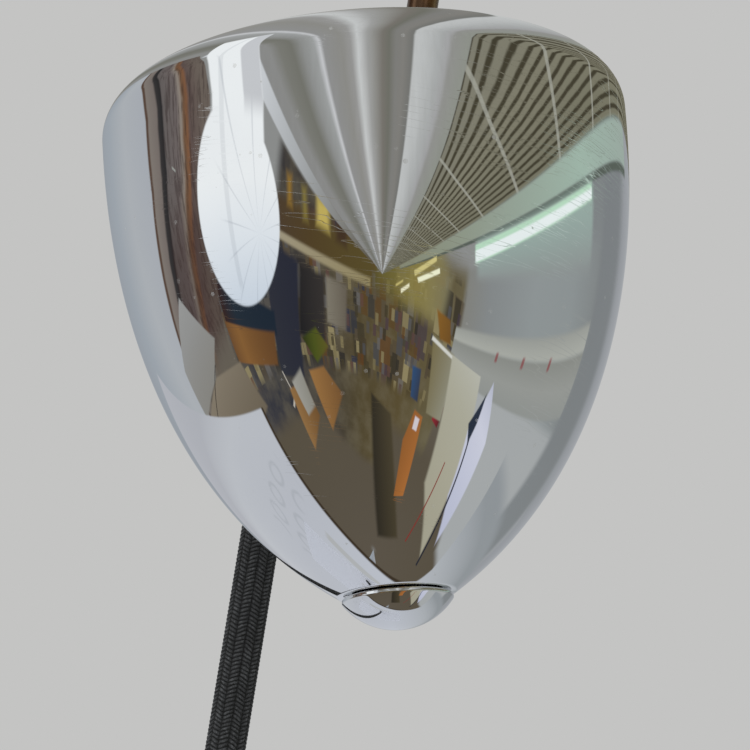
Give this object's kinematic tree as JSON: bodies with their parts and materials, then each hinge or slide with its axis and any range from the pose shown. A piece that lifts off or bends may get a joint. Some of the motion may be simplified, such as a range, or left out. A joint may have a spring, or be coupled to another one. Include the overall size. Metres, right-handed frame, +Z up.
{
  "type": "architect desk lamp",
  "caption": "Balance-arm desk lamp on a round base: a tilting arm with a conical metal shade at one end and an ogive counterweight at the other, with a braided flex.",
  "frame": {"origin": "centre of the felt pad's underside, on the table, on the stem's axis", "axes": "+Z up along the stem; +X from the stem towards the shade, in the plane the arm swings in; +Y to the back"},
  "size_m": [0.7618, 0.2683, 0.6025],
  "materials": {
    "chrome": "mirror-polished chrome plate, fine hairlines and dust",
    "aged_brass": "brass tube darkened to brown, satin",
    "brass": "plain brass, lightly tarnished",
    "steel": "turned steel, satin",
    "cast_iron": "rough cast metal",
    "bakelite": "black-brown moulded bakelite, soft gloss",
    "rubber": "black rubber",
    "felt": "dark green-black felt",
    "textile": "black braided textile over the flex",
    "fibre": "vulcanised fibre washer",
    "glass": "opal bulb glass"
  },
  "bodies": {
    "stand": {"felt_pad": "felt", "base_shell": "chrome", "base_ballast": "cast_iron", "base_nut": "steel", "stem_collar": "aged_brass", "stem_tube": "aged_brass", "pivot_fork": "aged_brass", "pivot_bolt": "steel", "flex": "textile", "flex_coil": "textile", "flex_end": "textile", "plug_body": "rubber", "plug_pin_front": "brass", "plug_pin_rear": "brass"},
    "knob": {"pivot_knob": "bakelite"},
    "arm": {"arm_hub": "aged_brass", "hub_washer_front": "fibre", "hub_washer_rear": "fibre", "hub_screw": "steel", "arm_tube": "aged_brass", "arm_journal": "steel", "journal_screw": "steel", "tail_ball": "chrome", "hanger_tube": "aged_brass", "hanger_eye": "steel", "flex_outlet": "aged_brass", "flex_relief": "rubber"},
    "weight": {"weight_shell": "chrome", "weight_filling": "cast_iron", "weight_lid": "chrome", "weight_cap": "chrome", "weight_stud": "steel", "weight_pin": "steel", "weight_washer_front": "fibre", "weight_washer_rear": "fibre"},
    "fork": {"head_fork": "aged_brass", "head_bolt": "steel", "head_nut": "aged_brass"},
    "head": {"head_neck": "aged_brass", "socket_cup": "chrome", "neck_nut": "steel", "lampholder": "bakelite", "holder_contact": "brass", "shade": "chrome", "shade_ring": "bakelite", "bulb_cap": "brass", "bulb_glass": "glass", "switch_bush": "brass"},
    "switch": {"switch_knob": "bakelite"}
  },
  "joints": [
    {"name": "arm_tilt", "type": "hinge", "parent": "stand", "child": "arm", "pos_m": [0, 0, 0.43], "axis": [0, 1, 0], "range_deg": [-25, 35], "deforming": ["flex"]},
    {"name": "knob_turn", "type": "hinge", "parent": "stand", "child": "knob", "pos_m": [0, 0, 0.43], "axis": [0, -1, 0], "range_deg": [0, 270]},
    {"name": "weight_swing", "type": "hinge", "parent": "arm", "child": "weight", "pos_m": [-0.14098, 0, 0.29372], "axis": [0, 1, 0], "range_deg": [-5.6, 30.4]},
    {"name": "head_roll", "type": "hinge", "parent": "arm", "child": "fork", "pos_m": [0.38544, 0, 0.58732], "axis": [0.9397, 0, 0.342], "range_deg": [-60, 60]},
    {"name": "head_tilt", "type": "hinge", "parent": "fork", "child": "head", "pos_m": [0.40799, 0, 0.59552], "axis": [0, 1, 0], "range_deg": [-60, 30]},
    {"name": "switch_turn", "type": "hinge", "parent": "head", "child": "switch", "pos_m": [0.40799, -0.026, 0.54152], "axis": [0, -1, 0], "range_deg": [0, 90]}
  ]
}
